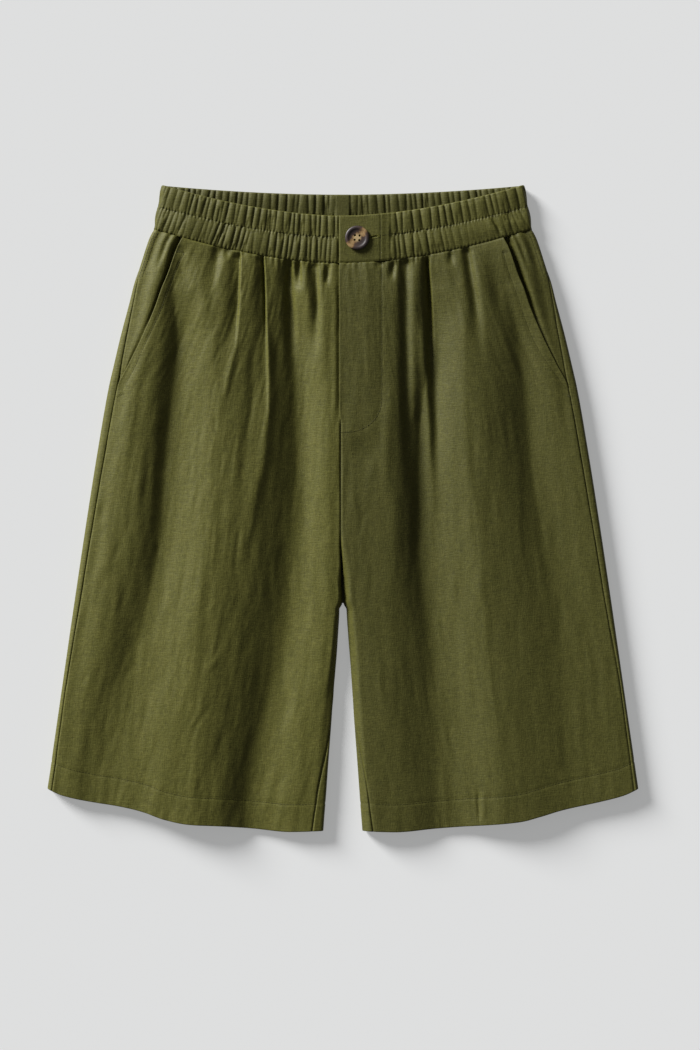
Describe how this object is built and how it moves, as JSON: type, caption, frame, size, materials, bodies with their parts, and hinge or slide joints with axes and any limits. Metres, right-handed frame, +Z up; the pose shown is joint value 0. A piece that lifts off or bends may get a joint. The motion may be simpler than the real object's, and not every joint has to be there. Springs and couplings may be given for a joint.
{
  "type": "bermuda shorts",
  "caption": "Linen bermuda shorts laid flat, with a shirred elastic waistband, flat button tab, fly, pleated front, slant pockets and wide straight legs.",
  "frame": {"origin": "bottom centre of the whole, on the surface that the shorts lie on, half way from the waistband's top to the lowest hem", "axes": "+X towards the wearer's left, +Y from the hems to the waist, +Z up from the surface, out of the front"},
  "size_m": [0.5126, 0.5611, 0.0168],
  "materials": {
    "linen": "matte",
    "button": "gloss"
  },
  "bodies": {
    "root": {"front_right": "linen", "front_left": "linen", "back_right": "linen", "back_left": "linen", "pocket_facing_right": "linen", "pocket_facing_left": "linen", "waistband_front_right": "linen", "waistband_front_left": "linen", "waistband_back": "linen", "button": "button"}
  },
  "joints": []
}
